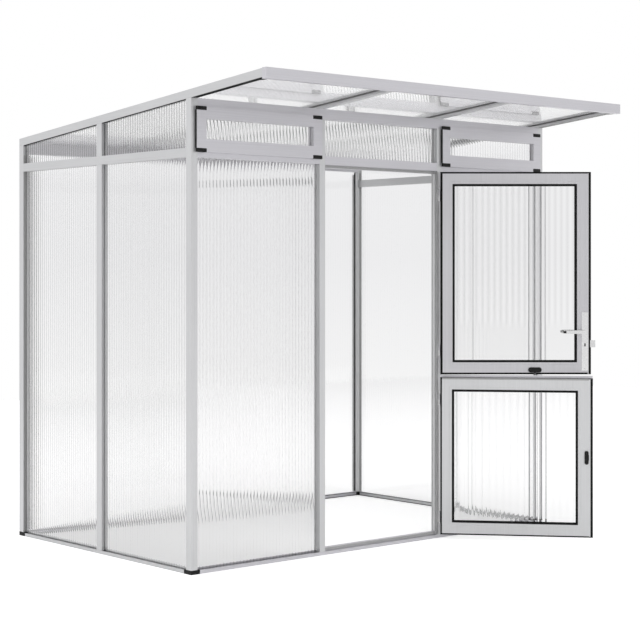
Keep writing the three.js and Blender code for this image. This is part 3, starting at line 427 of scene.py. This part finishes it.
# ---------------------------------------------------------------- clear sheets
# Tones of web and rib. Where several sheets lie behind each other, they are nearly even.
# They are set sheet by sheet, so their stripes are partly the webs' own tone and partly painted
# shade and painted reflection of the ribs.
CALM_TONES = (0.985, 0.992)
FRONT_TONES = (0.965, 1.0)
GABLE_TONES = (0.91, 0.985)
ROOF_TONES = (0.995, 1.0)
# The upper gable sheets are painted much darker, the front one most: painted shade for the dark
# things seen through them.
UPPER_GABLE_SHADE_TONES = {"front": (0.6, 0.94), "back": (0.76, 1.0)}
# The stripes of the upper leaf are painted reflections of the surroundings, faded out below a given
# height.
LEAF_TONES = {"upper": (0.9, 1.0), "lower": (0.95, 1.0)}
LEAF_REFLECTION_STRIPES_ABOVE = {"upper": 1.13, "lower": None}    # metres


def wall_sheet(node, across, outward, deep, tones, frost=0.0, top=None, body="frame"):
    """A ribbed sheet that stands for an upright panel or pane of the CAD.

    outward is +1 or -1, the way its ribs face. top is given where it follows the roof's slope.
    """
    box = millimetres(node)
    span, through = (box[0], box[1]) if across == "X" else (box[1], box[0])
    flat, ribs = through if outward > 0 else reversed(through)
    bottom, high = box[2]
    piece = ribbed(
        node + "_sheet", across, span, flat, ribs, bottom, top or high, WALL_PITCH, deep, body,
        rib_material(node, across, span, WALL_PITCH, tones, frost))
    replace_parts(piece, node)


def gable_top(y):
    return rafter_under(y) + GABLE_SHEET_REACH


for side in ("left", "middle", "right"):
    wall_sheet("back_panel_" + side, "X", 1, FAR_RIB, CALM_TONES)
wall_sheet("front_panel_left", "X", -1, FRONT_RIB, FRONT_TONES)
wall_sheet("front_panel_upper_middle", "X", -1, FRONT_RIB, (0.985, 1.0))
wall_sheet("front_panel_right", "X", -1, WALL_RIB, (0.975, 1.0), frost=0.06)
for part in ("front", "back"):
    wall_sheet("gable_left_panel_lower_" + part, "Y", -1, WALL_RIB, GABLE_TONES)
    wall_sheet(
        "gable_left_panel_upper_" + part, "Y", -1, WALL_RIB, UPPER_GABLE_SHADE_TONES[part], top=gable_top)
for part in ("front", "back"):
    wall_sheet("gable_right_panel_lower_" + part, "Y", 1, FAR_RIB, CALM_TONES)
    wall_sheet("gable_right_panel_upper_" + part, "Y", 1, FAR_RIB, CALM_TONES, top=gable_top)
wall_sheet("vent_left_pane", "X", -1, FRONT_RIB, FRONT_TONES, body="left_vent")
wall_sheet("vent_right_pane", "X", -1, FAR_RIB, (0.9, 0.99), body="right_vent")

for leaf, place in opened.items():
    bottom, top = LEAF_OPENING_Z[leaf]
    span = (LEAF_OPENING_X[0] - LEAF_GROOVE, LEAF_OPENING_X[1] + LEAF_GROOVE)
    ribs, flat = LEAF_SHEET_Y
    material = clear_sheet(
        f"clear_{leaf}_leaf", "X", LEAF_PITCH, 0.0, LEAF_TONES[leaf],
        stripes_above=LEAF_REFLECTION_STRIPES_ABOVE[leaf])
    piece = ribbed(
        leaf + "_leaf_sheet", "X", span, flat, ribs, bottom - LEAF_GROOVE, top + LEAF_GROOVE,
        LEAF_PITCH, LEAF_RIB, leaf + "_leaf", material, place)
    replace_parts(piece, leaf + "_leaf_pane")

# The roof sheets are flat below, with low ribs on top that run down the slope.
for side in ("left", "middle", "right"):
    node = "roof_panel_" + side
    span, ends, _ = millimetres(node)
    count = rib_count(span, ROOF_PITCH) * RIB_STEPS
    rows = []
    for k in range(count + 1):
        x = span[0] + (span[1] - span[0]) * k / count
        valley = ROOF_RIB * (1 + math.cos(2 * math.pi * k / RIB_STEPS)) / 2
        rows.append([
            (x, y, rafter_under(y) + ROOF_SHEET_LIFT + lift)
            for lift in (0.0, ROOF_SHEET_THICK - valley) for y in ends])
    material = rib_material(node, "X", span, ROOF_PITCH, ROOF_TONES)
    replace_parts(sheet_piece(node + "_sheet", rows, "frame", material), node)


# ---------------------------------------------------------------- trim of the door leaves
for leaf, place in opened.items():
    upper = leaf == "upper"
    body = leaf + "_leaf"
    low, high = LEAF_Z[leaf]
    bottom, top = LEAF_OPENING_Z[leaf]
    below, above = (MEETING_FLANGE, LEAF_FLANGE) if upper else (LEAF_FLANGE, MEETING_FLANGE)
    rubber = (body, "black_plastic", RUBBER, place)
    ring(body + "_bead_inner", LEAF_OPENING_X, (bottom, top), (INNER_BEAD_WIDE,) * 4, INNER_BEAD_Y,
         *rubber)
    ring(body + "_bead_outer", LEAF_OPENING_X, (bottom, top), (OUTER_BEAD_WIDE,) * 4, OUTER_BEAD_Y,
         *rubber)
    # The seal lies on the flange round the body, and a wider lip of it laps over the inner face.
    ring(body + "_seal", LEAF_X, (low, high), (LEAF_FLANGE, LEAF_FLANGE, below, above), SEAL_Y,
         *rubber, edge=1.0)
    face_low, face_high = low + below + 0.2, high - above - 0.2
    lips = {
        "free": (LIP_FREE_X[leaf], (face_low, face_high)),
        "hinge": (LIP_HINGE_X, (face_low, face_high))}
    if upper:
        # Two parts, so that the stem of the bolt can pass between them
        bottom_z = (face_low - 2.0, face_low + 6.5)
        lips["bottom_a"] = ((LIP_BETWEEN_X[0], BOLT_STEM_X[0]), bottom_z)
        lips["bottom_b"] = ((BOLT_STEM_X[1], LIP_BETWEEN_X[1]), bottom_z)
        lips["top"] = (LIP_BETWEEN_X, (face_high - 1.5, face_high + 2.0))
    else:
        lips["bottom"] = (LIP_BETWEEN_X, (face_low - 2.0, face_low + 2.0))
    for lip, (lip_x, lip_z) in lips.items():
        block(f"{body}_lip_{lip}", lip_x, LIP_Y, lip_z, *rubber)
    if not upper:
        # A grey strip of painted shade in the slot where the two leaves meet
        block("lower_leaf_meeting_shade", LIP_BETWEEN_X, LIP_Y, (face_high - 5.0, face_high + 3.8),
              body, "frame_aluminium", SEAL_AND_SHADE_GREY, place)
        # A thin fin on the outer flange that closes the slot between the leaves
        fin_x = (LEAF_X[0] + 1.0, LEAF_X[1] - 1.0)
        block("lower_leaf_weather_fin", fin_x, FIN_Y, (high - 0.6, high + 13.5),
              body, "frame_aluminium", ALU_X_PAINTED_TINT, place, edge=0.4)
    # The glazing bar: a low step round the opening that holds the bead
    bar_x = (LEAF_OPENING_X[0] - GLAZING_BAR_REACH, LEAF_OPENING_X[1] + GLAZING_BAR_REACH)
    bar_z = (bottom - GLAZING_BAR_REACH, top + GLAZING_BAR_REACH)
    ring(body + "_glazing_bar", bar_x, bar_z, (GLAZING_BAR_WIDE,) * 4, GLAZING_BAR_Y, body,
         "frame_aluminium", ALU_UPPER_LEAF_PAINTED_SHADE if upper else ALU_Z, place, edge=0.9)

# ---------------------------------------------------------------- trim of the vent sashes
CAP_Y = (-14.5, -2.0)
CAP_TALL = 18
CAP_PAST_SIDE = 1.0         # how far caps and seals stand out past the sash's side
CAP_PAST_TOP = 0.8
SASH_SEAL_Y = (-12.0, -1.5)
for side, (x0, x1) in SASH_X.items():
    body = side + "_vent"
    low, high = SASH_Z
    for end, cap_x, line_x in (
            ("left", (x0 - CAP_PAST_SIDE, x0 + 58), (x0 - CAP_PAST_SIDE, x0 + 0.4)),
            ("right", (x1 - 60, x1 + CAP_PAST_SIDE), (x1 - 0.4, x1 + CAP_PAST_SIDE))):
        for level, cap_z in (
                ("top", (high - CAP_TALL, high + CAP_PAST_TOP)),
                ("bottom", (low - CAP_PAST_TOP, low + CAP_TALL))):
            block(f"vent_{side}_cap_{end}_{level}", cap_x, CAP_Y, cap_z, body, "black_plastic",
                  BLACK, edge=3.0, segments=3)
        line_z = (low + CAP_TALL - 1, high - CAP_TALL + 1)
        block(f"vent_{side}_seal_{end}", line_x, SASH_SEAL_Y, line_z, body, "black_plastic",
              RUBBER, edge=0.4, segments=2)


# ---------------------------------------------------------------- channels of painted shade, gaskets and strips
PROUD = 0.4                 # how far a channel's strip stands off the bar's face
BASE_RAIL_LOW_Z = (2.0, 6.5)
BACK_BARS_Z = (28.0, 2020.0)
DOORWAY_STRIP_X = (823.0, 1604.0)
DOOR_POST_FACE_X = 1605.0
SIDES = ("left", "right")


def channel(name, x, y, z, material=SHADOW_LINE):
    """A thin strip of painted shade for the mouth of a channel in a bar. It lies just proud of the
    bar's face.
    """
    block(name, x, y, z, "frame", "frame_aluminium", material)


def inward(side, x, near, far):
    """The span from near to far beyond the inner face of a bar that spans x."""
    return (x[1] + near, x[1] + far) if side == "left" else (x[0] - far, x[0] - near)


def base_rail_channels(name, x, y, top):
    channel(name + "_channel_top", x, y, (top - 5.0, top - 1.0))
    channel(name + "_channel_low", x, y, BASE_RAIL_LOW_Z)


block("sill_strip", DOORWAY_STRIP_X, FRAME_STRIP_Y, (19.0, 33.0), "frame", "black_plastic",
      GREY_RUBBER, edge=0.1)
for side in SIDES:
    x, _, z = millimetres("base_rail_" + side)
    base_rail_channels("base_rail_" + side, inward(side, x, 0, PROUD), (41.0, 1491.0), z[1])
_, y, z = millimetres("base_rail_back")
base_rail_channels("base_rail_back", (41.0, 2399.0), (y[0] - PROUD, y[0]), z[1])
for side in SIDES:
    x, (front, _), _ = millimetres("corner_post_back_" + side)
    face_y = (front - PROUD, front)
    block(f"back_panel_{side}_holder", inward(side, x, 21.2, 35.0), (front + 13.0, front + 13.6),
          (28.0, 2010.0), "frame", "frame_aluminium", HOLDER_GREY, edge=0.2)
    block(f"back_panel_{side}_gasket", inward(side, x, 12.0, 21.0), (front + 13.0, front + 13.8),
          (28.0, 2021.0), "frame", "black_plastic", RUBBER, edge=0.2)
    middle = (x[0] + 4.0, x[0] + 24.0) if side == "left" else (x[1] - 24.0, x[1] - 4.0)
    channel(f"corner_post_back_{side}_channel", middle, face_y, BACK_BARS_Z, SEAL_AND_SHADE_GREY)
    x, (front, _), _ = millimetres("back_post_" + side)
    channel(f"back_post_{side}_channel", (x[0] + 16.0, x[0] + 20.0), (front - PROUD, front),
            BACK_BARS_Z)
    x, (front, _), _ = millimetres("gable_post_" + side)
    channel(f"gable_post_{side}_channel", inward(side, x, 0, PROUD), (front + 20.0, front + 25.0),
            (43.0, 1925.0))
# Two strips of painted shade on the right door post's side, where its recess lies in shade
for edge_name, strip_y in (("front", (5.0, 14.0)), ("back", (33.0, 39.0))):
    channel(f"door_post_right_channel_{edge_name}", (DOOR_POST_FACE_X - PROUD, DOOR_POST_FACE_X),
            strip_y, (37.0, 1925.0), SEAL_AND_SHADE_GREY)
block("door_top_seal", DOORWAY_STRIP_X, FRAME_STRIP_Y, (1917.5, 1931.0), "frame", "black_plastic",
      SEAL_AND_SHADE_GREY, edge=0.1)


# ---------------------------------------------------------------- seals that run down the slope
DRIP_SEAL_LIFT = (-0.8, -0.1)
GABLE_SEAL_LIFT = (-1.4, -0.1)
ROOF_SEAL_LIFT = (12.5, 16.2)
ROOF_SEAL_Y = (-517.0, 1490.0)
INNER_RAFTER_X = {"left": 786.0, "right": 1605.0}
INNER_RAFTER_WIDE = 36
SEAL_GAP = 0.2              # from the rafter's side to the seal beside it


def slope_strip(name, x, y, lift, material, drop=0.0):
    """A strip that runs down the roof's slope.

    lift is its span above the underside of the rafters, and drop is how much lower its front end
    hangs.
    """
    corners = [
        (px, py, rafter_under(py) + rise - (drop if (rise, py) == (lift[0], y[0]) else 0.0))
        for rise in lift for px, py in loop_of(x, y)]
    rounded(new_piece(name, corners, BOX_FACES, "frame", material), 0.3, 1)


for side, x, material in (
        ("left", (1.0, 35.5), RUBBER), ("right", (WIDTH - 35.5, WIDTH - 1.0), SEAL_AND_SHADE_GREY)):
    slope_strip("drip_seal_" + side, x, (-455.0, -1.0), DRIP_SEAL_LIFT, material)
    slope_strip(f"drip_seal_{side}_front", x, (-517.6, -455.2), DRIP_SEAL_LIFT, material, 5.6)
for side in SIDES:
    for part in ("front", "back"):
        x, y, _ = millimetres(f"gable_{side}_panel_upper_{part}")
        strip_x = (1.0, x[0] - 0.5) if side == "left" else (x[1] + 0.5, WIDTH - 1.0)
        strip_y = (y[0] + 8.0, y[1] - 8.0)
        slope_strip(f"gable_seal_{side}_{part}", strip_x, strip_y, GABLE_SEAL_LIFT, RUBBER)
roof_seals = {"left": (36.2, 40.5), "right": (WIDTH - 40.5, WIDTH - 36.2)}
for side, x in INNER_RAFTER_X.items():
    far = x + INNER_RAFTER_WIDE
    roof_seals[f"inner_{side}_a"] = (x - 4.5, x - SEAL_GAP)
    roof_seals[f"inner_{side}_b"] = (far + SEAL_GAP, far + 4.5)
for name, x in roof_seals.items():
    slope_strip("roof_seal_" + name, x, ROOF_SEAL_Y, ROOF_SEAL_LIFT, CHANNEL_DARK)

# ---------------------------------------------------------------- screws and lock details
SCREW_PROFILE = ((1.5, 0.5), (1.6, 1.4), (2.6, 1.3), (3.5, 0.8), (3.9, 0.0))
SCREW_SIDES = 18
HINGE_MIDDLES_Z = (990.0, 1802.9, 113.0, 730.0)
HINGE_SCREW_ASIDE = 38
HINGE_SCREW_X = 1616.5
PLATE_SCREW_X = 853.0
PLATE_FACE_Y = 20.8


def screws(name, centres, outward, body, place=closed):
    """Pan-head screws with a round socket, all in one mesh. outward is +1 or -1 along Y."""
    vertices, faces = [], []
    turns = [2 * math.pi * k / SCREW_SIDES for k in range(SCREW_SIDES)]
    for cx, cy, cz in centres:
        base = len(vertices)
        vertices += [
            (cx + radius * math.cos(turn), cy + outward * height, cz + radius * math.sin(turn))
            for radius, height in SCREW_PROFILE for turn in turns]
        last = len(vertices) - SCREW_SIDES
        for a in range(base, last, SCREW_SIDES):
            b = a + SCREW_SIDES
            for k in range(SCREW_SIDES):
                n = (k + 1) % SCREW_SIDES
                faces.append((a + k, a + n, b + n, b + k))
        faces.append(tuple(base + k for k in range(SCREW_SIDES)))
        faces.append(tuple(last + k for k in reversed(range(SCREW_SIDES))))
    new_piece(name, vertices, faces, body, STEEL, True, place)


hinge_screw_places = [
    (HINGE_SCREW_X, -2.0, middle + aside)
    for middle in HINGE_MIDDLES_Z for aside in (-HINGE_SCREW_ASIDE, HINGE_SCREW_ASIDE)]
screws("hinge_screws", hinge_screw_places, -1, "frame")
screws("backplate_screws", [(PLATE_SCREW_X, PLATE_FACE_Y, z) for z in (893.0, 1179.0)], 1,
       "upper_leaf", opened["upper"])
block("backplate_keyhole", (PLATE_SCREW_X - 3.5, PLATE_SCREW_X + 3.5), (20.6, 21.2),
      (1010.0, 1026.0), "upper_leaf", "black_plastic", RUBBER, opened["upper"], edge=0.25,
      segments=2)
block("lever_tip", (955.0, 970.5), (55.0, 55.8), (1080.0, 1092.0), "lever", "black_plastic",
      RUBBER, opened["upper"], edge=0.3, segments=2)

# ---------------------------------------------------------------- floor, light and camera
# The floor shines a little to the camera, and to rays that come through a sheet or off a mirror.
CAMERA_GLOW = 0.55
MIRRORED_GLOW = 0.3
floor_mesh = bpy.data.meshes.new("floor")
floor_mesh.from_pydata(
    [(-10, -12, 0), (10, -12, 0), (10, 8, 0), (-10, 8, 0)], [], [(0, 1, 2, 3)])
floor = bpy.data.objects.new("floor", floor_mesh)
bpy.context.scene.collection.objects.link(floor)
nodes, place = material_nodes("floor_paint")
tone = nodes.add("TexNoise", Scale=3.0, Detail=2.0)
paint = nodes.add("BsdfDiffuse", Color=mottled(nodes, (tone, "Fac"), grey(0.885), grey(0.895)))
path = nodes.add("LightPath")
mirrored = nodes.math("MAXIMUM", (path, "Is Transmission Ray"), (path, "Is Glossy Ray"))
parts = nodes.add("SeparateXYZ", Vector=place)
fade = nodes.add(
    "MapRange", Value=(parts, "Y"), From_Min=-1.0, From_Max=8.0, To_Min=MIRRORED_GLOW, To_Max=0.0)
through = nodes.math("MULTIPLY", mirrored, fade)
strength = nodes.math("MULTIPLY_ADD", (path, "Is Camera Ray"), CAMERA_GLOW, through)
both = nodes.add("AddShader")
nodes.set(both, 0, paint)
nodes.set(both, 1, nodes.add("Emission", Strength=strength))
floor_mesh.materials.append(nodes.finish(both))

# The sky lights the model by height, a little weaker from the front. The camera sees plain white.
SKY_TINT = (1, 1, 1.01)
world = bpy.data.worlds.new("studio")
bpy.context.scene.world = world
nodes = Nodes(world, "OutputWorld")
direction = nodes.add("SeparateXYZ", Vector=(nodes.add("TexCoord"), "Generated"))
height = nodes.add("MapRange", Value=(direction, "Z"), From_Min=-0.1, From_Max=0.9)
shade = ramp(nodes, height, [
    (0.0, grey(0.95)), (0.11, grey(0.86, SKY_TINT)), (0.155, grey(0.865, SKY_TINT)),
    (0.21, grey(0.99, SKY_TINT)), (0.6, grey(1.0, SKY_TINT)), (1.0, grey(1.0))])
side_light = nodes.add(
    "MapRange", Value=(direction, "Y"), From_Min=-0.9, From_Max=0.1, To_Min=0.88, To_Max=1.0)
sky = nodes.add("Background", Color=(shade, "Color"), Strength=side_light)
backdrop = nodes.add("Background", Color=grey(1), Strength=1.0)
seen = nodes.add("MixShader")
for number, value in ((0, (nodes.add("LightPath"), "Is Camera Ray")), (1, sky), (2, backdrop)):
    nodes.set(seen, number, value)
nodes.finish(seen)

camera_data = bpy.data.cameras.new("camera")
camera_data.sensor_width = 36.0
camera_data.lens = 91.62
camera_data.shift_y = -0.0745
camera_data.clip_end = 300.0
camera = bpy.data.objects.new("camera", camera_data)
camera.location = (-5.7125, -7.5692, 1.3987)
camera.rotation_euler = (math.radians(90), 0, math.radians(-41.08))
bpy.context.scene.collection.objects.link(camera)
bpy.context.scene.camera = camera

bpy.context.scene.view_settings.view_transform = "Standard"

bpy.context.view_layer.update()
